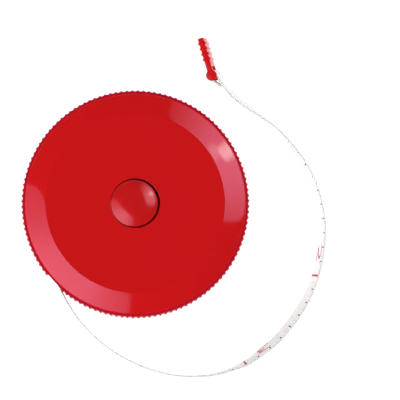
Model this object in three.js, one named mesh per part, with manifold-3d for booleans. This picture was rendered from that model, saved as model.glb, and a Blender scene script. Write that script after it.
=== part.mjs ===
// Spring-return pocket tape measure with a push-button brake. Millimetres, +Z up.
// The case lies on its back: rear face on Z = 0, reel axis on the Z axis.
import * as THREE from "three";
import { mergeVertices } from "three/addons/utils/BufferGeometryUtils.js";
import Module from "manifold-3d";

const wasm = await Module();
wasm.setup();

// Tape
const TAPE_WIDTH = 7;
const TAPE_THICKNESS = 0.36;
const TAPE_LENGTH = 1500;
const TAPE_OUT = 123;
const WIND_PITCH = 0.42;
const EXIT_RADIUS = 32.2;
const EXIT_ANGLE = -22.6;
const SLIDE_ANGLE = 35;

// Case
const CASE_RADIUS = 25;
const FACE_RADIUS = 19.5;
const BEVEL_DROP = 2.1;
const BEVEL_SWELL = 0.12;
const FACE_WALL = 1.5;
const SIDE_WALL = 1.3;
const KNURL_HEIGHT = 0.7;
const KNURL_STEP = 0.2;
const RIDGE_COUNT = 128;
const RIDGE_DEPTH = 0.3;
const RIDGE_FLANK = 0.34;
const HOLE_LIP = 0.1;
const TONGUE_HEIGHT = 1;
const TONGUE_WALL = 0.7;
const SLOT_GAP = 0.6;
const NOTCH_DEPTH = 0.1;
const SOCKET_FLOOR = 2;
const PEG_ANGLES = [-70, 0, 70];

// Reel and return spring
const BARREL_BORE = 10;
const BARREL_WALL = 1.2;
const FLANGE_THICKNESS = 0.7;
const FLANGE_LIP = 0.9;
const WEB_THICKNESS = 0.8;
const WASHER_THICKNESS = 0.3;
const WASHER_WIDTH = 2.7;
const SPINDLE_RADIUS = 3;
const SPIGOT_STEP = 1;
const SPRING_TURNS = 8;
const SPRING_THICKNESS = 0.22;
const SPRING_TAIL = 2;
const SPRING_BEND = 0.7;
const BEND_ANGLE = 2;
const COIL_START = 9;
const COVER_RIM_HEIGHT = 0.5;
const COVER_RIM_WIDTH = 1;
const ANCHOR_ANGLE = 60;

// Button and brake
const BUTTON_RADIUS = 5;
const BUTTON_DOME = 1.45;
const DOME_REACH = 0.62;
const DOME_RISE = 1.02;
const BUTTON_TRAVEL = 1;
const BUTTON_WALL = 0.7;
const COLLAR_RADIUS = 8.2;
const COLLAR_THICKNESS = 0.6;
const BRAKE_WIDTH = 1.2;
const BRAKE_THICKNESS = 0.4;
const DOG_COUNT = 3;
const DOG_WIDTH = 1.3;
const WIRE = 0.4;
const COILS = 3.5;

// Pull tab
const TAB_LENGTH = 8.5;
const TAB_THICKNESS = 1.25;
const TAB_EYE_RADIUS = 1.2;
const TAB_BAR_RADIUS = 0.6;
const TAB_EAR = 1;
const TAB_CORNER = 0.2;
const RIB_COUNT = 4;
const RIB_PITCH = 1.2;
const RIB_FOOT = 0.36;
const RIB_CREST = 0.15;
const RIB_HEIGHT = 0.28;
const RIB_START = 3.7;
const TAB_TURN = -25.5;

// Clearances, and how far a cut reaches past the faces it opens
const RUN_GAP = 0.2;
const GAP = 0.3;
const WIDE_GAP = 0.4;
const OVERCUT = 1;

// Route of the free tape past the exit arc: X and Y from the end of that arc,
// height of the lower edge over the table, and lean to the left in degrees.
const ROUTE = [
  [4.5, -2.2, 2.9, 0],
  [8.5, -3.5, 2.5, 0],
  [12.5, -4.3, 2.0, 0],
  [16.6, -4.4, 1.5, -1],
  [20.6, -4.0, 0.9, -2],
  [24.4, -2.9, 0.5, -4],
  [27.9, -1.3, 0.25, -8],
  [31.0, 0.9, 0.15, -11],
  [34.0, 3.4, 0.15, -12],
  [37.4, 7.3, 0.15, -12],
  [40.3, 11.6, 0.15, -11],
  [42.5, 16.4, 0.15, -9],
  [43.9, 21.6, 0.15, -8],
  [44.6, 26.8, 0.15, -6],
  [44.5, 30.7, 0.15, -4],
  [43.8, 34.5, 0.2, -2],
  [42.8, 38.2, 0.3, 0],
  [41.0, 41.8, 0.45, 2],
  [38.7, 45.3, 0.6, 3],
  [34.8, 50.0, 0.9, 5],
  [31.3, 52.8, 1.2, 8],
  [28.1, 55.1, 1.4, 12],
  [25.3, 57.2, 1.5, 13],
];
const EYE = [20.3, 62, 5.25];
const EYE_LEAN = 8;
const LOOP_HEADING = 132;
const LOOP_TAIL = 3.7;

// Facets round a turn, and steps along the exit arc and the end loop
const CASE_FACETS = 72;
const REEL_FACETS = 48;
const PIN_FACETS = 16;
const WIRE_STEPS = 14;
const ARC_STEPS = 22;
const LOOP_STEPS = 16;

const rad = THREE.MathUtils.degToRad;

// Heights, from the table up
const floorZ = FACE_WALL;
const washerTop = floorZ + WASHER_THICKNESS;
const coverBottom = washerTop + RUN_GAP;
const coverTop = coverBottom + FLANGE_THICKNESS;
const tapeBottom = coverTop + GAP;
const tapeTop = tapeBottom + TAPE_WIDTH;
const tapeMid = (tapeBottom + tapeTop) / 2;
const flangeBottom = tapeTop + GAP;
const flangeTop = flangeBottom + FLANGE_THICKNESS;
const ceilingZ = flangeTop + WASHER_THICKNESS + RUN_GAP;
const caseTop = ceilingZ + FACE_WALL;
const brakeTop = ceilingZ - RUN_GAP;
const collarTop = brakeTop - BRAKE_THICKNESS;
const collarBottom = collarTop - COLLAR_THICKNESS;
const webTop = collarBottom - BUTTON_TRAVEL - GAP;
const webBottom = webTop - WEB_THICKNESS;
const seatZ = ceilingZ + FACE_WALL / 2;
const hubTop = seatZ - BUTTON_TRAVEL - WIDE_GAP;

const springBottom = coverTop + COVER_RIM_HEIGHT + GAP;
const springTop = webBottom - WIDE_GAP;

// Radii, from the axis out
const spigotRadius = SPINDLE_RADIUS - SPIGOT_STEP;
const hubBore = spigotRadius + RUN_GAP;
const hubRadius = SPINDLE_RADIUS;
const skirtBore = BUTTON_RADIUS - BUTTON_WALL;
const holeRadius = BUTTON_RADIUS + GAP;
const brakeInner = holeRadius + RUN_GAP;
const brakeOuter = brakeInner + BRAKE_WIDTH;
const springInner = SPINDLE_RADIUS + WIDE_GAP;
const springOuter = BARREL_BORE - WIDE_GAP;
const hookAngle = COIL_START + 360 * SPRING_TURNS + 2 * BEND_ANGLE;
const barrelRadius = BARREL_BORE + BARREL_WALL;
const woundBore = barrelRadius + RUN_GAP;
const woundArea = (TAPE_LENGTH - TAPE_OUT) * WIND_PITCH;
const coilRadius = Math.sqrt(woundBore ** 2 + woundArea / Math.PI);
const leadRadius = coilRadius + GAP + TAPE_THICKNESS / 2;
const flangeRadius = coilRadius + FLANGE_LIP;
const shellRadius = CASE_RADIUS - KNURL_HEIGHT;
const cavityRadius = shellRadius - SIDE_WALL;
const innerFaceRadius = flangeRadius + WIDE_GAP;
const tongueRadius = cavityRadius + TONGUE_WALL;
const pegOrbit = (flangeRadius + cavityRadius) / 2;
const bossRadius = (cavityRadius - flangeRadius) / 2 - WIDE_GAP;
const pegRadius = bossRadius / 2;

// The exit circle touches the wound tape and crosses the rim; its centre lies beyond the axis.
const exitOffset = EXIT_RADIUS - leadRadius;
const exitX = exitOffset * Math.cos(rad(EXIT_ANGLE));
const exitY = exitOffset * Math.sin(rad(EXIT_ANGLE));
const touchAngle = rad(EXIT_ANGLE + 180);

// Angle on the exit circle, from the touching point, where it reaches a radius of the case.
function exitSweep(radius) {
  const sum = exitOffset ** 2 + EXIT_RADIUS ** 2 - radius ** 2;
  return Math.acos(sum / (2 * exitOffset * EXIT_RADIUS));
}

function exitPoint(sweep) {
  const angle = touchAngle + sweep;
  const x = exitX + EXIT_RADIUS * Math.cos(angle);
  const y = exitY + EXIT_RADIUS * Math.sin(angle);
  return new THREE.Vector3(x, y, tapeMid);
}

function polarAngle(point) {
  return Math.atan2(point.y, point.x);
}

// Closed solid from a three.js geometry, turned to face outwards.
function solid(geometry) {
  const bare = new THREE.BufferGeometry();
  bare.setAttribute("position", geometry.getAttribute("position"));
  bare.setIndex(geometry.getIndex());
  const merged = mergeVertices(bare, 1e-4);
  const position = merged.getAttribute("position");
  const corners = [];
  const a = new THREE.Vector3();
  const b = new THREE.Vector3();
  const c = new THREE.Vector3();
  let volume = 0;
  for (let i = 0; i < merged.index.count; i += 3) {
    const face = [merged.index.getX(i), merged.index.getX(i + 1), merged.index.getX(i + 2)];
    if (new Set(face).size === 3) {
      corners.push(face);
      a.fromBufferAttribute(position, face[0]);
      b.fromBufferAttribute(position, face[1]);
      c.fromBufferAttribute(position, face[2]);
      volume += a.dot(b.cross(c));
    }
  }
  if (volume < 0) {
    corners.forEach((face) => face.reverse());
  }
  return new wasm.Manifold(new wasm.Mesh({
    numProp: 3,
    vertProperties: new Float32Array(position.array),
    triVerts: new Uint32Array(corners.flat()),
  }));
}

function lathe(points, facets) {
  const profile = points.map(([r, z]) => new THREE.Vector2(r, z));
  const geometry = new THREE.LatheGeometry(profile, facets);
  geometry.rotateX(Math.PI / 2);
  return solid(geometry);
}

// Ring of rectangular section round the axis.
function ring(inner, outer, bottom, top, facets) {
  const corners = [[inner, bottom], [outer, bottom], [outer, top], [inner, top], [inner, bottom]];
  return lathe(corners, facets);
}

function pin(x, y, radius, bottom, top) {
  const geometry = new THREE.CylinderGeometry(radius, radius, top - bottom, PIN_FACETS);
  geometry.rotateX(Math.PI / 2);
  geometry.translate(x, y, (bottom + top) / 2);
  return solid(geometry);
}

// Block that spans radii from inner to outer at an angle, with a given width.
function block(inner, outer, width, bottom, top, degrees) {
  const geometry = new THREE.BoxGeometry(outer - inner, width, top - bottom);
  geometry.translate((inner + outer) / 2, 0, (bottom + top) / 2);
  geometry.rotateZ(rad(degrees));
  return solid(geometry);
}

function extrude(shape, bottom, top, divisions = 12) {
  const options = { depth: top - bottom, bevelEnabled: false, curveSegments: divisions };
  const geometry = new THREE.ExtrudeGeometry(shape, options);
  geometry.translate(0, 0, bottom);
  return solid(geometry);
}

// Sector of a flat ring about a centre.
function sector(x, y, inner, outer, start, end, bottom, top) {
  const shape = new THREE.Shape();
  shape.absarc(x, y, outer, start, end, false);
  shape.absarc(x, y, inner, end, start, true);
  return extrude(shape, bottom, top, 24);
}

function bore(radius) {
  return new THREE.Path().absarc(0, 0, radius, 0, 2 * Math.PI, true);
}

function polar(radius, degrees) {
  return new THREE.Vector2(radius * Math.cos(rad(degrees)), radius * Math.sin(rad(degrees)));
}

// Even spacing of a count of places round the axis, in degrees.
function around(count) {
  return Array.from({ length: count }, (_, i) => (360 * i) / count);
}

function mesh(name, body, color, roughness, metalness) {
  const data = body.getMesh();
  const geometry = new THREE.BufferGeometry();
  geometry.setAttribute("position", new THREE.BufferAttribute(data.vertProperties, 3));
  geometry.setIndex(new THREE.BufferAttribute(data.triVerts, 1));
  geometry.computeVertexNormals();
  const material = new THREE.MeshStandardMaterial({ color, roughness, metalness });
  const node = new THREE.Mesh(geometry, material);
  node.name = name;
  return node;
}

// Slightly swelling bevel from the flat face to the rim: radius and depth below the face.
function bevelPoints() {
  const start = new THREE.Vector2(FACE_RADIUS, 0);
  const end = new THREE.Vector2(shellRadius, BEVEL_DROP);
  const along = end.clone().sub(start).normalize();
  const bulge = new THREE.Vector2(along.y, -along.x).multiplyScalar(2 * BEVEL_SWELL);
  const control = start.clone().add(end).multiplyScalar(0.5).add(bulge);
  return new THREE.QuadraticBezierCurve(start, control, end).getPoints(4);
}

// Ridged band round the rim.
function knurl(bottom, top) {
  const pitch = 360 / RIDGE_COUNT;
  const outline = [];
  for (let i = 0; i < RIDGE_COUNT; i += 1) {
    outline.push(polar(CASE_RADIUS, i * pitch));
    outline.push(polar(CASE_RADIUS - RIDGE_DEPTH, (i + RIDGE_FLANK) * pitch));
    outline.push(polar(CASE_RADIUS - RIDGE_DEPTH, (i + 1 - RIDGE_FLANK) * pitch));
  }
  const shape = new THREE.Shape(outline);
  shape.holes.push(bore(shellRadius - SIDE_WALL / 4));
  return extrude(shape, bottom, top, CASE_FACETS / 2);
}

// Slot along the exit arc through the rim, with the ridges cut back where the tape leaves.
function tapeOpening() {
  const half = TAPE_THICKNESS / 2 + SLOT_GAP;
  const start = touchAngle + exitSweep(cavityRadius - OVERCUT);
  const end = touchAngle + exitSweep(CASE_RADIUS + 2 * OVERCUT);
  const low = tapeBottom - WIDE_GAP;
  const high = tapeTop + WIDE_GAP;
  const slot = sector(exitX, exitY, EXIT_RADIUS - half, EXIT_RADIUS + half, start, end, low, high);
  const from = polarAngle(exitPoint(exitSweep(cavityRadius)));
  const to = polarAngle(exitPoint(exitSweep(CASE_RADIUS)));
  const notch = sector(0, 0, shellRadius - NOTCH_DEPTH, CASE_RADIUS + OVERCUT, from, to, 0, caseTop);
  return slot.add(notch);
}

function frontShell() {
  const bevel = bevelPoints().map((p) => [p.x, caseTop - p.y]).reverse();
  const outer = [[0, tapeMid], [shellRadius, tapeMid], ...bevel, [0, caseTop]];
  const rebateRadius = tongueRadius + RUN_GAP;
  const rebateTop = tapeMid + TONGUE_HEIGHT + RUN_GAP;
  const cavity = [
    [0, tapeMid - OVERCUT],
    [rebateRadius, tapeMid - OVERCUT],
    [rebateRadius, rebateTop],
    [cavityRadius, rebateTop],
    [cavityRadius, tapeTop + WIDE_GAP],
    [innerFaceRadius, ceilingZ],
    [0, ceilingZ],
  ];
  const hole = [
    [0, ceilingZ - OVERCUT],
    [holeRadius, ceilingZ - OVERCUT],
    [holeRadius, caseTop - HOLE_LIP],
    [holeRadius + 2 * HOLE_LIP, caseTop + HOLE_LIP],
    [0, caseTop + HOLE_LIP],
  ];
  let shell = lathe(outer, CASE_FACETS).add(knurl(tapeMid, caseTop - BEVEL_DROP - KNURL_STEP));
  shell = shell.subtract(lathe(cavity, CASE_FACETS)).subtract(lathe(hole, REEL_FACETS));
  shell = shell.subtract(tapeOpening());
  for (const degrees of PEG_ANGLES) {
    const x = pegOrbit * Math.cos(rad(degrees));
    const y = pegOrbit * Math.sin(rad(degrees));
    shell = shell.add(pin(x, y, pegRadius, floorZ + SOCKET_FLOOR + WIDE_GAP, ceilingZ + RUN_GAP));
  }
  return shell;
}

// Rear half: tongue into the front half, sockets for its pegs and the slit post of the reel.
function rearShell() {
  const bevel = bevelPoints().map((p) => [p.x, p.y]);
  const tongueTop = tapeMid + TONGUE_HEIGHT;
  const outer = [
    [0, 0],
    ...bevel,
    [shellRadius, tapeMid],
    [tongueRadius, tapeMid],
    [tongueRadius, tongueTop],
    [0, tongueTop],
  ];
  const inner = [
    [0, floorZ],
    [innerFaceRadius, floorZ],
    [cavityRadius, tapeBottom - WIDE_GAP],
    [cavityRadius, tongueTop + OVERCUT],
    [0, tongueTop + OVERCUT],
  ];
  const shoulder = webBottom - RUN_GAP;
  const post = [
    [0, floorZ / 2],
    [SPINDLE_RADIUS, floorZ / 2],
    [SPINDLE_RADIUS, shoulder],
    [spigotRadius, shoulder],
    [spigotRadius, hubTop - RUN_GAP],
    [0, hubTop - RUN_GAP],
  ];
  let cavity = lathe(inner, CASE_FACETS);
  for (const degrees of PEG_ANGLES) {
    const x = pegOrbit * Math.cos(rad(degrees));
    const y = pegOrbit * Math.sin(rad(degrees));
    const socket = pin(x, y, pegRadius + RUN_GAP, floorZ + SOCKET_FLOOR, tapeMid);
    cavity = cavity.subtract(pin(x, y, bossRadius, 0, tapeMid - RUN_GAP).subtract(socket));
  }
  let shell = lathe(outer, CASE_FACETS).add(knurl(BEVEL_DROP + KNURL_STEP, tapeMid));
  shell = shell.subtract(cavity).add(lathe(post, REEL_FACETS)).subtract(tapeOpening());
  const width = SPRING_THICKNESS + 2 * WIDE_GAP;
  const slit = block(0, SPINDLE_RADIUS + OVERCUT, width, springBottom - GAP, shoulder, 0);
  return shell.subtract(slit);
}

// Spiral return spring: tail in the slit of the post, hook in the slit of the barrel.
function mainspring() {
  const points = [
    [springInner - SPRING_TAIL, 0],
    [springInner - SPRING_BEND, 0],
    [springInner - RUN_GAP, BEND_ANGLE],
  ];
  const steps = 20 * SPRING_TURNS;
  for (let i = 0; i <= steps; i += 1) {
    const radius = springInner + ((springOuter - springInner) * i) / steps;
    points.push([radius, COIL_START + (360 * SPRING_TURNS * i) / steps]);
  }
  points.push([springOuter + RUN_GAP, hookAngle - BEND_ANGLE]);
  points.push([springOuter + SPRING_BEND, hookAngle]);
  points.push([barrelRadius - GAP, hookAngle]);
  const line = points.map(([radius, degrees]) => polar(radius, degrees));
  return extrude(ribbon(line, SPRING_THICKNESS), springBottom, springTop);
}

// Outline of a band of even thickness along a line of points.
function ribbon(line, thickness) {
  const left = [];
  const right = [];
  line.forEach((point, i) => {
    const before = line[Math.max(i - 1, 0)];
    const after = line[Math.min(i + 1, line.length - 1)];
    const along = after.clone().sub(before).normalize();
    const side = new THREE.Vector2(-along.y, along.x).multiplyScalar(thickness / 2);
    left.push(point.clone().add(side));
    right.push(point.clone().sub(side));
  });
  return new THREE.Shape([...right, ...left.reverse()]);
}

// Barrel with the upper flange, the web over the spring and the dogs that drive the button.
function reel() {
  const profile = [
    [hubBore, webBottom],
    [hubBore, hubTop],
    [hubRadius, hubTop],
    [hubRadius, webTop],
    [BARREL_BORE, webTop],
    [BARREL_BORE, flangeTop],
    [flangeRadius, flangeTop],
    [flangeRadius, flangeBottom],
    [barrelRadius, flangeBottom],
    [barrelRadius, coverTop],
    [BARREL_BORE, coverTop],
    [BARREL_BORE, webBottom],
    [hubBore, webBottom],
  ];
  let body = lathe(profile, REEL_FACETS);
  for (const degrees of around(DOG_COUNT)) {
    const inner = brakeOuter + WIDE_GAP;
    const outer = COLLAR_RADIUS + GAP;
    body = body.add(block(inner, outer, DOG_WIDTH, webTop - RUN_GAP, collarTop - RUN_GAP, degrees));
  }
  const slit = SPRING_THICKNESS + 2 * WIDE_GAP;
  const grip = TAPE_THICKNESS + 2 * GAP;
  const from = BARREL_BORE - RUN_GAP;
  const to = barrelRadius + OVERCUT;
  const hookSlit = block(from, to, slit, coverTop - OVERCUT, springTop + GAP, hookAngle);
  const tapeSlit = block(from, to, grip, coverTop - OVERCUT, tapeTop + RUN_GAP / 2, ANCHOR_ANGLE);
  return body.subtract(hookSlit).subtract(tapeSlit);
}

function reelCover() {
  const outer = BARREL_BORE - RUN_GAP;
  const rimTop = coverTop + COVER_RIM_HEIGHT;
  const plate = ring(SPINDLE_RADIUS + GAP, flangeRadius, coverBottom, coverTop, REEL_FACETS);
  return plate.add(ring(outer - COVER_RIM_WIDTH, outer, coverBottom, rimTop, REEL_FACETS));
}

// Wound tape: its outline steps off by one layer where the lead leaves, and its end is held in the barrel.
function woundTape() {
  const outline = [];
  for (let i = 0; i <= CASE_FACETS; i += 1) {
    const radius = coilRadius - WIND_PITCH * (1 - i / CASE_FACETS);
    outline.push(polar(radius, EXIT_ANGLE + 180 + (360 * i) / CASE_FACETS));
  }
  const shape = new THREE.Shape(outline);
  shape.holes.push(bore(woundBore));
  const coil = extrude(shape, tapeBottom, tapeTop, REEL_FACETS / 2);
  const reach = woundBore + OVERCUT;
  const end = block(BARREL_BORE + GAP, reach, TAPE_THICKNESS, tapeBottom, tapeTop, ANCHOR_ANGLE);
  return coil.add(end);
}

// Domed button with a hollow for its spring and a notched collar under the face of the case.
function button() {
  const recessTop = caseTop + GAP;
  const rim = new THREE.Vector2(BUTTON_RADIUS, caseTop);
  const crown = new THREE.Vector2(0, caseTop + BUTTON_DOME);
  const shoulder = new THREE.Vector2(BUTTON_RADIUS * DOME_REACH, caseTop + BUTTON_DOME * DOME_RISE);
  const dome = new THREE.QuadraticBezierCurve(rim, shoulder, crown).getPoints(8).map((p) => [p.x, p.y]);
  const profile = [
    [0, recessTop],
    [hubRadius, recessTop],
    [hubRadius, seatZ],
    [skirtBore, seatZ],
    [skirtBore, collarBottom],
    [COLLAR_RADIUS, collarBottom],
    [COLLAR_RADIUS, collarTop],
    [BUTTON_RADIUS, collarTop],
    ...dome,
  ];
  let body = lathe(profile, REEL_FACETS);
  for (const degrees of around(DOG_COUNT)) {
    const width = DOG_WIDTH + 2 * GAP;
    const inner = brakeOuter + RUN_GAP / 2;
    const outer = COLLAR_RADIUS + OVERCUT;
    const low = collarBottom - OVERCUT;
    body = body.subtract(block(inner, outer, width, low, collarTop + OVERCUT, degrees));
  }
  return body;
}

// Coil line of the button spring.
class Helix extends THREE.Curve {
  constructor(radius, bottom, top, turns) {
    super();
    Object.assign(this, { radius, bottom, top, turns });
  }

  getPoint(t, target = new THREE.Vector3()) {
    const angle = 2 * Math.PI * this.turns * t;
    const z = this.bottom + (this.top - this.bottom) * t;
    return target.set(this.radius * Math.cos(angle), this.radius * Math.sin(angle), z);
  }
}

function buttonSpring() {
  const radius = (hubRadius + skirtBore) / 2;
  const lift = WIRE / 2 + RUN_GAP / 2;
  const path = new Helix(radius, webTop + lift, seatZ - lift, COILS);
  const section = new THREE.Shape();
  section.absarc(0, 0, WIRE / 2, 0, 2 * Math.PI, false);
  const steps = Math.round(WIRE_STEPS * COILS);
  const options = { steps, extrudePath: path, curveSegments: 4, bevelEnabled: false };
  return solid(new THREE.ExtrudeGeometry(section, options));
}

// Place and attitude of the tape's end: along the tape, across it and along its width.
const arcEnd = exitPoint(exitSweep(CASE_RADIUS) + rad(SLIDE_ANGLE));
const eye = new THREE.Vector3(arcEnd.x + EYE[0], arcEnd.y + EYE[1], EYE[2]);
const eyeAlong = new THREE.Vector3(Math.cos(rad(LOOP_HEADING)), Math.sin(rad(LOOP_HEADING)), 0);
const eyeUp = leanUp(eyeAlong, EYE_LEAN);
const eyeAcross = new THREE.Vector3().crossVectors(eyeUp, eyeAlong);

// Direction of the tape's width for a heading, leaning to the left by some degrees.
function leanUp(along, degrees) {
  const left = new THREE.Vector3(-along.y, along.x, 0).normalize();
  const up = new THREE.Vector3(0, 0, Math.cos(rad(degrees)));
  return up.addScaledVector(left, Math.sin(rad(degrees)));
}

// End loop of the tape round the bar of the tab, as points along and across the tape's end.
function loopLine() {
  const radius = TAB_BAR_RADIUS + RUN_GAP + TAPE_THICKNESS / 2;
  const side = TAPE_THICKNESS / 2 + GAP / 2;
  const reach = Math.hypot(LOOP_TAIL, side);
  const touch = Math.PI - Math.atan2(side, LOOP_TAIL) - Math.acos(radius / reach);
  const line = [new THREE.Vector2(-LOOP_TAIL, -side)];
  for (let i = 0; i <= LOOP_STEPS; i += 1) {
    const angle = -touch + (2 * touch * i) / LOOP_STEPS;
    line.push(new THREE.Vector2(radius * Math.cos(angle), radius * Math.sin(angle)));
  }
  line.push(new THREE.Vector2(-LOOP_TAIL, side));
  return line;
}

// Centre line of the tape from inside the case to its end loop, with the direction of its width.
function tapeStations() {
  const stations = [];
  const sweep = exitSweep(CASE_RADIUS) + rad(SLIDE_ANGLE);
  for (let i = 0; i < ARC_STEPS; i += 1) {
    stations.push({ centre: exitPoint((sweep * i) / ARC_STEPS), up: new THREE.Vector3(0, 0, 1) });
  }
  const loop = loopLine().map((p) => {
    return eye.clone().addScaledVector(eyeAlong, p.x).addScaledVector(eyeAcross, p.y);
  });
  const leans = [0, 0, ...ROUTE.map((row) => row[3]), EYE_LEAN];
  const knots = ROUTE.map(([x, y, low, lean]) => {
    const z = low + (TAPE_WIDTH / 2) * Math.cos(rad(lean));
    return new THREE.Vector3(arcEnd.x + x, arcEnd.y + y, z);
  });
  const before = exitPoint(sweep - (2 * sweep) / ARC_STEPS);
  const curve = new THREE.CatmullRomCurve3([before, arcEnd, ...knots, loop[0]]);
  const last = leans.length - 1;
  for (let i = 2; i < 2 * last; i += 1) {
    const t = i / 2;
    const lean = THREE.MathUtils.lerp(leans[Math.floor(t)], leans[Math.ceil(t)], t % 1);
    const along = curve.getTangent(t / last).setZ(0).normalize();
    stations.push({ centre: curve.getPoint(t / last), up: leanUp(along, lean) });
  }
  loop.forEach((centre) => stations.push({ centre, up: eyeUp }));
  return stations;
}

// Flat band of the tape's section along the stations.
function tape() {
  const stations = tapeStations();
  const positions = [];
  const faces = [];
  stations.forEach(({ centre, up }, i) => {
    const before = stations[Math.max(i - 1, 0)].centre;
    const after = stations[Math.min(i + 1, stations.length - 1)].centre;
    const along = after.clone().sub(before);
    const across = new THREE.Vector3().crossVectors(up, along).normalize();
    for (const [side, edge] of [[-1, -1], [1, -1], [1, 1], [-1, 1]]) {
      const corner = centre.clone().addScaledVector(across, (side * TAPE_THICKNESS) / 2);
      positions.push(...corner.addScaledVector(up, (edge * TAPE_WIDTH) / 2).toArray());
    }
    for (let k = 0; k < 4 && i > 0; k += 1) {
      const a = 4 * (i - 1) + k;
      const b = 4 * (i - 1) + ((k + 1) % 4);
      faces.push(a, b, b + 4, a, b + 4, a + 4);
    }
  });
  const end = 4 * (stations.length - 1);
  faces.push(0, 2, 1, 0, 3, 2, end, end + 1, end + 2, end, end + 2, end + 3);
  const geometry = new THREE.BufferGeometry();
  geometry.setAttribute("position", new THREE.Float32BufferAttribute(positions, 3));
  geometry.setIndex(faces);
  return solid(geometry);
}

// Ribbed grip whose round eye holds a bar for the tape's end loop.
function pullTab() {
  const half = TAB_THICKNESS / 2;
  const neck = Math.asin(half / TAB_EYE_RADIUS);
  const edge = [];
  for (let i = 0; i < RIB_COUNT; i += 1) {
    const x = RIB_START + i * RIB_PITCH;
    edge.push([x - RIB_FOOT, half], [x - RIB_CREST, half + RIB_HEIGHT]);
    edge.push([x + RIB_CREST, half + RIB_HEIGHT], [x + RIB_FOOT, half]);
  }
  edge.push([TAB_LENGTH - TAB_CORNER, half], [TAB_LENGTH, half - TAB_CORNER]);
  const shape = new THREE.Shape();
  shape.absarc(0, 0, TAB_EYE_RADIUS, neck, 2 * Math.PI - neck, false);
  edge.forEach(([x, y]) => shape.lineTo(x, -y));
  edge.reverse().forEach(([x, y]) => shape.lineTo(x, y));
  shape.closePath();
  const window = TAPE_WIDTH / 2 + WIDE_GAP;
  const top = window + TAB_EAR;
  const reach = TAB_EYE_RADIUS + TAPE_THICKNESS + WIDE_GAP;
  const bar = pin(0, 0, TAB_BAR_RADIUS, -top, top);
  const opening = block(-reach, reach, 4 * TAB_EYE_RADIUS, -window, window, 0).subtract(bar);
  return extrude(shape, -top, top).subtract(opening);
}

const RED = 0xc41518;

const caseBody = new THREE.Group();
caseBody.name = "case";
caseBody.add(mesh("front_shell", frontShell(), RED, 0.25, 0));
caseBody.add(mesh("rear_shell", rearShell(), RED, 0.25, 0));
const washerBore = SPINDLE_RADIUS + GAP;
const washer = ring(washerBore, washerBore + WASHER_WIDTH, floorZ, washerTop, REEL_FACETS);
caseBody.add(mesh("slip_washer", washer, 0xe9e6dc, 0.5, 0));

const reelBody = new THREE.Group();
reelBody.name = "reel_set";
reelBody.add(mesh("reel", reel(), 0xf0efe8, 0.45, 0));
reelBody.add(mesh("reel_cover", reelCover(), 0xdeddd4, 0.45, 0));
reelBody.add(mesh("mainspring", mainspring(), 0x8b8f94, 0.3, 1));
reelBody.add(mesh("wound_tape", woundTape(), 0xf4f2ea, 0.7, 0));
reelBody.add(mesh("button_spring", buttonSpring(), 0xa5a8ab, 0.3, 1));

const buttonBody = new THREE.Group();
buttonBody.name = "button_set";
buttonBody.add(mesh("button", button(), RED, 0.22, 0));
const brake = ring(brakeInner, brakeOuter, collarTop, brakeTop, REEL_FACETS);
buttonBody.add(mesh("brake_ring", brake, 0x2a2a2a, 0.9, 0));

const tapeBody = new THREE.Group();
tapeBody.name = "tape_set";
tapeBody.add(mesh("tape", tape(), 0xf4f2ea, 0.6, 0));
const tabSeat = new THREE.Group();
tabSeat.name = "tab_seat";
tabSeat.position.copy(eye);
tabSeat.quaternion.setFromRotationMatrix(new THREE.Matrix4().makeBasis(eyeAlong, eyeAcross, eyeUp));
const tab = mesh("pull_tab", pullTab(), RED, 0.3, 0);
tab.rotation.z = rad(TAB_TURN);
tabSeat.add(tab);
tapeBody.add(tabSeat);

const part = new THREE.Group();
part.name = "tape_measure";
part.add(caseBody, reelBody, buttonBody, tapeBody);

export default part;
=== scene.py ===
import math

import bmesh
import bpy
from mathutils import Matrix, Vector


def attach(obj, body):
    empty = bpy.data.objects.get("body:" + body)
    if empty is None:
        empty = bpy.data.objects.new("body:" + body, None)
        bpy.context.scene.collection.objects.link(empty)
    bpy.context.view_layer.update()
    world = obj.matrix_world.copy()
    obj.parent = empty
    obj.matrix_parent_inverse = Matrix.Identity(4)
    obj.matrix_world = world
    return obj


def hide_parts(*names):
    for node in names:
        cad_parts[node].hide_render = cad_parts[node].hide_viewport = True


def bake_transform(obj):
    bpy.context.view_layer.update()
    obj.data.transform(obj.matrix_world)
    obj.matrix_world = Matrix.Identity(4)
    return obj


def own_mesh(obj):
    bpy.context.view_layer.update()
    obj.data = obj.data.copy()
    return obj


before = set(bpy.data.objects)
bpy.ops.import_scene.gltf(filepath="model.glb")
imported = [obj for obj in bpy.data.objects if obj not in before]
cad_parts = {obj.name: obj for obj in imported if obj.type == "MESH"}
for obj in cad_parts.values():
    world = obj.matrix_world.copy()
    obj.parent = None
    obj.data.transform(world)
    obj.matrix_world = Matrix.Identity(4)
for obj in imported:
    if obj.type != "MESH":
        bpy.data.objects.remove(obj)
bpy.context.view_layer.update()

# Sizes are in millimetres and angles in degrees, as in the part's source
MM = 0.001
UP = Vector((0, 0, 1))

# Case
CASE_RADIUS = 25.0
SHELL_RADIUS = 24.3
CAVITY_RADIUS = 23.0
FACE_RADIUS = 19.5
INNER_FACE_RADIUS = 19.0215
FACE_MARGIN = 0.5
CASE_TOP = 13.0
CEILING = 11.5
WALL_HIGH = 10.4
PARTING = 6.5
WALL_LOW = 2.6
FLOOR_TOP = 1.5
HOLE_RADIUS = 5.38
BEVEL_RADIUS = 24.04
BEVEL_DROP = 2.1
BEVEL_SWELL = 0.12
BEVEL_STEPS = 10
BAND_STEP = 0.2
BAND_LIP = 0.1
BAND_FALL = 0.02
BAND_RISE = 0.5
RIDGE_COUNT = 128
RIDGE_COLUMNS = 8
RIDGE_DEPTH = 0.3
RIDGE_SHARPNESS = 1.5
RIDGE_TURN = 1.2
RIDGE_FINISH = 24.45
VALLEY_RADIUS = CASE_RADIUS - RIDGE_DEPTH
TONGUE_RADIUS = 23.7
TONGUE_TOP = 7.5
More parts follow.
